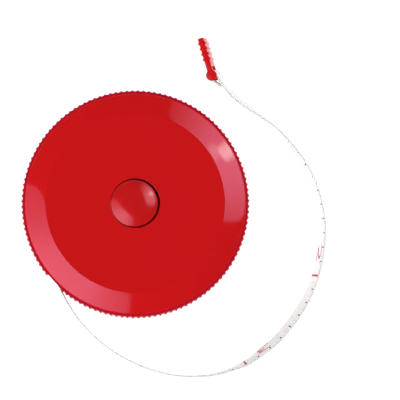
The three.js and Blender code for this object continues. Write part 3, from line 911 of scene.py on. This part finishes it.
def tape_stations():
    """Centre and upward direction of each cross section of the tape, from its lead to its end."""
    line = [(exit_point(ARC_SWEEP * i / LEAD_STEPS), 0.0) for i in range(LEAD_STEPS)]
    leans = [0, 0] + [row[3] for row in ROUTE] + [EYE_LEAN]
    knots = [exit_point(ARC_SWEEP - 2 * ARC_SWEEP / ARC_STEPS), ARC_END]
    for x, y, low, lean in ROUTE:
        height = low + TAPE_WIDTH / 2 * math.cos(math.radians(lean))
        knots.append(Vector((ARC_END.x + x, ARC_END.y + y, height)))
    knots.append(at_eye(Vector((-LOOP_TAIL, -LOOP_SIDE))))
    for i in range(1, len(knots) - 1):
        for k in range(CURVE_STEPS):
            t = k / CURVE_STEPS
            ease = t * t * (3 - 2 * t)
            lean = leans[i] + (leans[i + 1] - leans[i]) * ease
            line.append((curve_point(knots, i, t), lean))
    line.append((knots[-1], EYE_LEAN))
    centres = [centre for centre, lean in line]
    frames = []
    for i, (centre, lean) in enumerate(line):
        along = direction_at(centres, i)
        along.z = 0
        frames.append((centre, lean_up(along.normalized(), lean)))
    return frames + [(at_eye(point), EYE_UP) for point in loop_line()]


def lengths(centres):
    total = [0.0]
    for before, after in zip(centres, centres[1:]):
        total.append(total[-1] + (after - before).length)
    return total


stations = tape_stations()
STATION_CENTRES = [centre for centre, up in stations]
STATION_LENGTHS = lengths(STATION_CENTRES)
LOOP_MIDDLE = len(stations) - 1 - LOOP_STRAIGHT - LOOP_TURN // 2
CORD_LENGTH = STATION_LENGTHS[LOOP_MIDDLE]
TAPE_ZERO = CORD_LENGTH - SCALE_LEAD


def across_at(i):
    return stations[i][1].cross(direction_at(STATION_CENTRES, i)).normalized()


def on_tape(distance, height, side):
    """Point at a distance from the tape's zero, a height over its middle and a side offset."""
    reach = TAPE_ZERO - distance
    i = 0
    while i < len(stations) - 2 and STATION_LENGTHS[i + 1] < reach:
        i += 1
    t = (reach - STATION_LENGTHS[i]) / (STATION_LENGTHS[i + 1] - STATION_LENGTHS[i])
    centre = stations[i][0].lerp(stations[i + 1][0], t)
    up = stations[i][1].lerp(stations[i + 1][1], t)
    across = across_at(i).lerp(across_at(i + 1), t).normalized()
    return centre + up * height + across * side


def strip(name, frames, zero, materials, thickness=TAPE_THICKNESS, width=TAPE_WIDTH):
    """Thin band with softened edges; its two faces and its edges have materials of their own."""
    half = thickness / 2
    edge = width / 2
    soft = thickness / 4
    section = [
        (-half, edge - soft), (-half, 0), (-half, soft - edge),
        (soft - half, -edge), (half - soft, -edge),
        (half, soft - edge), (half, 0), (half, edge - soft),
        (half - soft, edge), (soft - half, edge),
    ]
    section_slots = [1, 1, 2, 2, 2, 0, 0, 2, 2, 2]
    points = []
    values = {"along": [], "across": []}
    centres = [centre for centre, up in frames]
    run = lengths(centres)
    for i, (centre, up) in enumerate(frames):
        across = up.cross(direction_at(centres, i)).normalized()
        for side, height in section:
            points.append(centre + across * side + up * height)
            values["along"].append(zero - run[i])
            values["across"].append(height)
    count = len(section)
    faces = tube_faces(count, len(frames)) + tube_ends(count, len(frames))
    face_slots = section_slots * (len(frames) - 1) + [2, 2]
    obj = make(name, points, faces, materials, face_slots, values)
    smooth(obj, degrees=60)
    return obj


TAPE_FINISH = [inch_cloth, metric_cloth, edge_cloth]
tape = strip("tape_strip", stations, TAPE_ZERO, TAPE_FINISH)
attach(tape, "tape")
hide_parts("tape")


# Wound tape on the reel
def coil_frames():
    turns = int((COIL_RADIUS - WOUND_BORE) / WIND_PITCH)
    frames = []
    for i in range(turns * WIND_STEPS + 1):
        turn = i / WIND_STEPS
        radius = COIL_RADIUS - WIND_PITCH * (turns - turn) - TAPE_THICKNESS / 2
        angle = TOUCH + 2 * math.pi * turn
        centre = Vector((radius * math.cos(angle), radius * math.sin(angle), PARTING))
        frames.append((centre, UP))
    return frames


coil = strip("tape_coil", coil_frames(), TAPE_LENGTH, TAPE_FINISH)
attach(coil, "reel")
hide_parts("wound_tape")


# Return spring: its tail stays in the post, half a turn between is tied to neither, the rest turns
# with the reel
SPRING_SPAN = 360 * SPRING_TURNS
HALF_TURN = 180.0 - SPRING_START
HOOK_TURN = SPRING_START + SPRING_SPAN + HOOK_AHEAD


def spring_line(start, end):
    """Radius and angle along the spiral, between two angles past its start."""
    count = math.ceil((end - start) / SPRING_STEP)
    line = []
    for i in range(count + 1):
        turn = start + (end - start) * i / count
        radius = SPRING_INNER + (SPRING_OUTER - SPRING_INNER) * turn / SPRING_SPAN
        line.append((radius, SPRING_START + turn))
    return line


def spring_strip(name, line):
    middle = (SPRING_LOW + SPRING_HIGH) / 2
    frames = []
    for radius, degrees in line:
        angle = math.radians(degrees)
        centre = Vector((radius * math.cos(angle), radius * math.sin(angle), middle))
        frames.append((centre, UP))
    steel = [spring_steel] * 3
    obj = strip(name, frames, 0.0, steel, SPRING_THICKNESS, SPRING_HIGH - SPRING_LOW)
    return obj


# Radius and angle of the spring's tail in the post and of its hook in the reel
tail_line = [
    (1.4, 0), (2.0, 0), (2.7, 0), (3.0, 0.5), (3.2, 2), (3.33, 5), (SPRING_INNER, SPRING_START)]
hook_line = [(9.8, HOOK_TURN - 2), (10.3, HOOK_TURN), (10.9, HOOK_TURN)]
spring_tail = spring_strip("spring_tail", tail_line)
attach(spring_tail, "case")
spring_bend = spring_strip("spring_bend", spring_line(SPRING_PART, HALF_TURN - SPRING_PART))
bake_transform(spring_bend)
spring_coil = spring_strip("spring_coil", spring_line(HALF_TURN, SPRING_SPAN) + hook_line)
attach(spring_coil, "reel")
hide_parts("mainspring")


# Button spring, built at one fixed length, though in use it shortens as the button goes in
def wire_coil():
    rise = (COIL_HIGH - COIL_LOW) / (2 * math.pi * WIRE_COILS * COIL_RING)
    points = []
    for i in range(WIRE_STEPS + 1):
        angle = 2 * math.pi * WIRE_COILS * i / WIRE_STEPS
        outward = Vector((math.cos(angle), math.sin(angle), 0))
        height = COIL_LOW + (COIL_HIGH - COIL_LOW) * i / WIRE_STEPS
        centre = outward * COIL_RING + UP * height
        upward = outward.cross(Vector((-outward.y, outward.x, rise))).normalized()
        for x, y in circle(0, 0, 1, WIRE_SIDES):
            points.append(centre + (outward * x + upward * y) * WIRE_RADIUS)
    rings = WIRE_STEPS + 1
    return points, tube_ends(WIRE_SIDES, rings) + tube_faces(WIRE_SIDES, rings)


button_coil = make("button_coil", *wire_coil(), [spring_steel])
smooth(button_coil, degrees=50)
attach(button_coil, "reel")
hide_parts("button_spring")
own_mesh(button_coil)


# Numbers printed on both faces of the tape
def text_mesh(text, height):
    """Raised text, cut across so that it can bend with the tape."""
    data = bpy.data.curves.new("numeral", "FONT")
    data.body = text
    data.size = height / CAP_SHARE
    data.align_x = "CENTER"
    data.extrude = INK_DEPTH / 2
    data.offset = -STROKE_TRIM
    data.resolution_u = 4
    source = linked("numeral", data)
    mesh = evaluated_mesh(source)
    bpy.data.objects.remove(source)
    work = bmesh.new()
    work.from_mesh(mesh)
    bpy.data.meshes.remove(mesh)
    for i in range(-CUT_COUNT, CUT_COUNT + 1):
        whole = work.verts[:] + work.edges[:] + work.faces[:]
        bmesh.ops.bisect_plane(work, geom=whole, plane_co=(i * CUT_STEP, 0, 0), plane_no=(1, 0, 0))
    work.verts.index_update()
    points = [v.co.copy() for v in work.verts]
    faces = [[v.index for v in face.verts] for face in work.faces]
    work.free()
    return points, faces


def numerals(name, labels, side, material):
    """Numbers on one face of the tape: side is 1 on the inch face and -1 on the metric one."""
    bodies = []
    lift = side * (TAPE_THICKNESS / 2 + INK_DEPTH / 2)
    for text, distance, height, foot, wide in labels:
        points, faces = text_mesh(text, height)
        placed = [
            on_tape(distance + wide * p.x, side * (foot + p.y), lift + side * p.z) for p in points]
        bodies.append((placed, faces))
    obj = make(name, *joined(*bodies), [material])
    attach(obj, "tape")
    return obj


inch_numbers = numerals("inch_numbers", INCH_LABELS, 1, red_ink)
first_number = numerals("first_number", FIRST_LABELS, 1, black_ink)
metric_numbers = numerals("metric_numbers", METRIC_LABELS, -1, black_ink)


# Pull tab
def tab_outline():
    half = TAB_THICKNESS / 2
    neck = math.asin(half / EYE_RADIUS)
    edge = []
    for i in range(RIB_COUNT):
        x = RIB_START + i * RIB_PITCH
        for k in range(-RIB_STEPS, RIB_STEPS + 1):
            share = k / RIB_STEPS
            rise = (0.5 + 0.5 * math.cos(math.pi * share)) ** RIB_FULLNESS
            edge.append((x + RIB_FOOT * share, half + RIB_HEIGHT * rise))
    edge += arc(
        TAB_LENGTH - TAB_CORNER, half - TAB_CORNER, TAB_CORNER, math.pi / 2, 0, CORNER_STEPS)
    outline = arc(0, 0, EYE_RADIUS, neck, 2 * math.pi - neck, EYE_STEPS)
    outline += [(x, -y) for x, y in edge]
    outline += [(x, y) for x, y in reversed(edge)]
    return outline


def tab_window():
    """Opening of the tab's foot, without the bar that the tape goes round."""
    outline = [
        (-WINDOW_REACH, -WINDOW_SIDE), (WINDOW_REACH, -WINDOW_SIDE),
        (WINDOW_REACH, WINDOW_SIDE), (-WINDOW_REACH, WINDOW_SIDE)]
    window = make("window", *prism(outline, -WINDOW_TOP, WINDOW_TOP), [tab_red])
    bar = prism(circle(0, 0, BAR_RADIUS, BAR_SIDES), -TAB_TOP, TAB_TOP)
    combine(window, make("bar", *bar, [tab_red]), "DIFFERENCE")
    return window


tab = make("grip_tab", *prism(tab_outline(), -TAB_TOP, TAB_TOP), [tab_red])
combine(tab, tab_window(), "DIFFERENCE")
soften = tab.modifiers.new("soften", "BEVEL")
soften.width = TAB_SOFTENING * MM
soften.segments = 2
soften.limit_method = "ANGLE"
soften.angle_limit = math.radians(50)
apply_modifiers(tab)
tab_place = Matrix.Translation(EYE_POINT * MM) @ turned(EYE_ALONG, EYE_ACROSS, EYE_UP)
tab.data.transform(tab_place @ Matrix.Rotation(math.radians(TAB_TURN), 4, "Z"))
smooth(tab, degrees=40)
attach(tab, "tab")
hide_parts("pull_tab")

# Floor, a hair below the part
FLOOR_HALF = 3.0
FLOOR_HEIGHT = -2e-5
FLOOR_PALE = colour(0.06, 0.06, 0.06)
FLOOR_DULL = colour(0.055, 0.055, 0.055)
floor_mesh = bpy.data.meshes.new("floor")
floor_corners = [
    (x * FLOOR_HALF, y * FLOOR_HALF, FLOOR_HEIGHT) for x, y in ((-1, -1), (1, -1), (1, 1), (-1, 1))]
floor_mesh.from_pydata(floor_corners, [], [(0, 1, 2, 3)])
floor_kit = Finish("floor_white")
floor_kit.set(Base_Color=floor_kit.mix(floor_kit.noise(scale=8.0), FLOOR_DULL, FLOOR_PALE))
floor_kit.set(Roughness=0.9, Specular_IOR_Level=0.1)
floor_kit.set(Emission_Color=colour(1.0, 1.0, 1.0), Emission_Strength=1.1)
floor_mesh.materials.append(floor_kit.material)
floor = linked("floor", floor_mesh)


# Lights
def panel(
    name, azimuth, distance, left, right, low, high, radiance, glow, edge=6.0, tint=(1, 1, 1),
):
    """Upright soft panel facing the part; its edges are given as angles seen from the part.

    Azimuth and distance are those of its nearest point, left and right are angles to either side
    of that, low and high are elevations. The glow gives its brightness from left to right, its
    corners are rounded and it fades out towards its edges.
    """
    def offset(angle):
        return distance * math.tan(math.radians(angle))

    data = bpy.data.lights.new(name, "AREA")
    data.shape = "RECTANGLE"
    data.size = offset(right) - offset(left)
    data.size_y = offset(high) - offset(low)
    data.energy = radiance * math.pi * data.size * data.size_y
    data.color = tint
    data.use_nodes = True
    graph = Graph(data.node_tree)
    where = graph.add("ShaderNodeNewGeometry").outputs["Parametric"]
    axes = graph.add("ShaderNodeSeparateXYZ", Vector=where).outputs
    across = graph.add("ShaderNodeValToRGB")
    graph.put(across.inputs[0], axes["X"])
    across.color_ramp.interpolation = "B_SPLINE"
    stops = across.color_ramp.elements
    while len(stops) < len(glow):
        stops.new(0.5)
    for stop, (angle, level) in zip(stops, glow):
        stop.position = (offset(angle) - offset(left)) / data.size
        stop.color = colour(level, level, level)

    def nearness(axis):
        """Zero in the middle of the panel and one at its edge, rising close to the edge."""
        centred = graph.math("MULTIPLY_ADD", axes[axis], 2.0, -1.0)
        return graph.math("POWER", graph.math("ABSOLUTE", centred), 4.0)

    rim = graph.math("ADD", nearness("X"), nearness("Y"))
    fade = graph.math("MAXIMUM", graph.math("MULTIPLY_ADD", rim, -edge, edge), 0.0)
    inside = graph.math("MINIMUM", fade, 1.0)
    strength = graph.math("MULTIPLY", across.outputs[0], inside)
    graph.put(graph.tree.nodes["Emission"].inputs["Strength"], strength)
    turn = math.radians(azimuth)
    outward = Vector((math.cos(turn), math.sin(turn), 0))
    aside = Vector((-math.sin(turn), math.cos(turn), 0))
    sideways = (offset(left) + offset(right)) / 2
    height = (offset(low) + offset(high)) / 2
    place = Matrix.Translation(outward * distance + aside * sideways + UP * height)
    linked(name, data).matrix_world = place @ turned(aside, UP, outward)


# Brightness across each panel, by the angle to the side of its nearest point
KEY_GLOW = ((-21, 0.3), (-8, 0.5), (5, 0.75), (25, 0.7), (42, 0.34), (58.5, 0.03))
FILL_GLOW = (
    (-62.5, 0.3), (-45, 0.42), (-33, 0.68), (-15, 1.1),
    (0, 1.2), (12, 0.95), (26, 0.55), (39, 0.35))
LAMP_GLOW = ((-6, 0.2), (-2, 1.0), (2, 1.0), (6, 0.2))
LAMP_TINT = (0.6, 1.0, 0.66)
LAMP_EDGE = 1.2
panel(
    "key_panel", azimuth=13.5, distance=0.45, left=-21.0, right=58.5, low=20.0, high=64.0,
    radiance=5.4, glow=KEY_GLOW)
panel(
    "fill_panel", azimuth=228.4, distance=0.42, left=-62.5, right=39.0, low=10.0, high=65.0,
    radiance=3.7, glow=FILL_GLOW)
panel(
    "lamp", azimuth=33.0, distance=0.4, left=-6.0, right=6.0, low=21.0, high=41.5,
    radiance=10.5, glow=LAMP_GLOW, edge=LAMP_EDGE, tint=LAMP_TINT)
panel(
    "lamp_top", azimuth=37.0, distance=0.43, left=-6.0, right=6.0, low=38.0, high=50.5,
    radiance=3.5, glow=LAMP_GLOW, edge=LAMP_EDGE, tint=LAMP_TINT)

# Surroundings: bright near the horizon, more so on one side, and dark above
BRIGHT_SIDE = (-0.7, 0.7, 0.0)
world = bpy.data.worlds.new("surroundings")
world.use_nodes = True
sky = Graph(world.node_tree)
direction = sky.add("ShaderNodeTexCoord").outputs["Generated"]
height = sky.add("ShaderNodeSeparateXYZ", Vector=direction).outputs["Z"]
horizon = sky.add(
    "ShaderNodeMapRange", Value=height, From_Min=0.05, From_Max=0.16, To_Min=2.0, To_Max=0.01)
facing = sky.add("ShaderNodeVectorMath", {"operation": "DOT_PRODUCT"})
sky.put(facing.inputs[0], direction)
sky.put(facing.inputs[1], BRIGHT_SIDE)
side = sky.add(
    "ShaderNodeMapRange", Value=facing.outputs["Value"], From_Min=-1.0, To_Min=0.7, To_Max=1.8)
background = sky.tree.nodes["Background"]
sky.put(background.inputs["Color"], horizon.outputs[0])
sky.put(background.inputs["Strength"], side.outputs[0])
bpy.context.scene.world = world
bpy.context.scene.view_settings.view_transform = "Standard"
bpy.context.scene.view_settings.look = "None"
